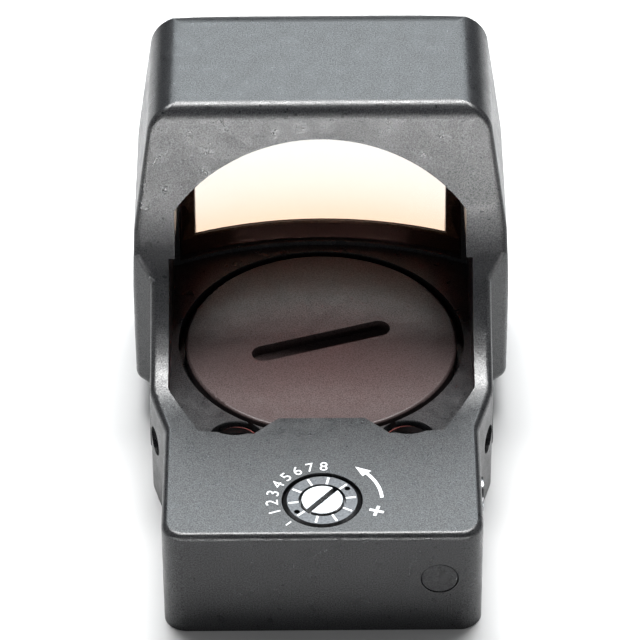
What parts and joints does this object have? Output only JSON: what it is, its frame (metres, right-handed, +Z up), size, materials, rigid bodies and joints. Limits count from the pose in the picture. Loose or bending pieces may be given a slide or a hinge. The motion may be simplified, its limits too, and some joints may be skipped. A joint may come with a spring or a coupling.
{
  "type": "reflex red dot sight",
  "caption": "Compact reflex sight that shows a red aiming dot on a lens under an arched hood, with click adjusters and a coin-cell bay.",
  "frame": {"origin": "middle of the flat base face, under the battery bay", "axes": "+Z up from the base face, +Y forward through the lens, +X to the right of a person who looks through it"},
  "size_m": [0.033, 0.0468, 0.0309],
  "materials": {
    "anodised_housing": "matte hard anodised, fine bead-blasted grain",
    "anodised_cap": "matte hard anodised",
    "anodised_cover": "matte hard anodised",
    "lens_glass": "polished, with a warm dichroic coating",
    "black_rubber": "matte",
    "black_plastic": "matte",
    "cell_steel": "satin",
    "contact_brass": "satin, gold plated",
    "black_steel": "polished black oxide",
    "board_laminate": "solder mask",
    "chip_plastic": "matte",
    "button_rubber": "matte",
    "flex_film": "polyimide film",
    "dial_aluminium": "satin",
    "bright_steel": "polished",
    "slide_brass": "machined",
    "led_lens": "clear red epoxy"
  },
  "bodies": {
    "root": {"housing": "anodised_housing", "lens": "lens_glass", "lens_seal": "black_rubber", "emitter_window": "lens_glass", "coin_cell": "cell_steel", "cell_insulator": "black_plastic", "negative_contact": "contact_brass", "positive_contact": "contact_brass", "bottom_cover": "anodised_cover", "cover_gasket": "black_rubber", "cover_screws": "black_steel", "circuit_board": "board_laminate", "board_chips": "chip_plastic", "switch_right": "board_laminate", "switch_left": "board_laminate", "emitter_flex_cable": "flex_film", "click_balls": "bright_steel", "click_springs": "bright_steel", "slide_springs": "bright_steel", "lock_screw_right": "black_steel", "lock_screw_left": "black_steel", "rear_plug": "anodised_cover"},
    "cap_lift": {"battery_cap_seal": "black_rubber"},
    "battery_cap": {"battery_cap": "anodised_cap"},
    "elevation_adjuster": {"elevation_dial": "dial_aluminium", "elevation_screw": "bright_steel", "elevation_seal": "black_rubber", "elevation_clip": "bright_steel"},
    "windage_adjuster": {"windage_dial": "dial_aluminium", "windage_screw": "bright_steel", "windage_seal": "black_rubber"},
    "elevation_slide": {"elevation_slide": "slide_brass"},
    "emitter_holder": {"emitter_holder": "black_plastic", "led_emitter": "led_lens"},
    "windage_nut": {"windage_nut": "slide_brass"},
    "button_right": {"button_right": "button_rubber"},
    "button_left": {"button_left": "button_rubber"},
    "mounting_screw_right": {"mounting_screw_right": "black_steel"},
    "mounting_screw_left": {"mounting_screw_left": "black_steel"}
  },
  "joints": [
    {"name": "battery_cap_rise", "type": "slide", "parent": "root", "child": "cap_lift", "axis": [0, 0, 1], "range_m": [0, 0.00187]},
    {"name": "battery_cap_turn", "type": "hinge", "parent": "cap_lift", "child": "battery_cap", "pos_m": [0, 0.0058, 0.0078], "axis": [0, 0, 1], "range_deg": [0, 900]},
    {"name": "elevation_turn", "type": "hinge", "parent": "root", "child": "elevation_adjuster", "pos_m": [0, -0.01852, 0.0108], "axis": [0, 0, 1], "range_deg": [-540, 540]},
    {"name": "windage_turn", "type": "hinge", "parent": "root", "child": "windage_adjuster", "pos_m": [0.01345, -0.012, 0.0055], "axis": [1, 0, 0], "range_deg": [-540, 540]},
    {"name": "elevation_travel", "type": "slide", "parent": "root", "child": "elevation_slide", "axis": [0, 0, 1], "range_m": [-0.00052, 0.00052], "deforming": ["slide_springs", "emitter_flex_cable"]},
    {"name": "windage_travel", "type": "slide", "parent": "elevation_slide", "child": "emitter_holder", "axis": [1, 0, 0], "range_m": [-0.00052, 0.00052]},
    {"name": "windage_nut_travel", "type": "slide", "parent": "root", "child": "windage_nut", "axis": [1, 0, 0], "range_m": [-0.00052, 0.00052]},
    {"name": "button_right_press", "type": "slide", "parent": "root", "child": "button_right", "axis": [-1, 0, 0], "range_m": [0, 0.0003], "stiffness_N_per_m": 2500},
    {"name": "button_left_press", "type": "slide", "parent": "root", "child": "button_left", "axis": [1, 0, 0], "range_m": [0, 0.0003], "stiffness_N_per_m": 2500},
    {"name": "mounting_screw_right_drive", "type": "slide", "parent": "root", "child": "mounting_screw_right", "axis": [0, 0, -1], "range_m": [0, 0.0033]},
    {"name": "mounting_screw_left_drive", "type": "slide", "parent": "root", "child": "mounting_screw_left", "axis": [0, 0, -1], "range_m": [0, 0.0033]}
  ],
  "couplings": [
    {"joint": "battery_cap_turn", "follows": "battery_cap_rise", "rad_per_m": 8377.6},
    {"joint": "elevation_turn", "follows": "elevation_travel", "rad_per_m": -17952},
    {"joint": "windage_turn", "follows": "windage_travel", "rad_per_m": -17952},
    {"joint": "windage_nut_travel", "follows": "windage_travel", "ratio": 1}
  ]
}
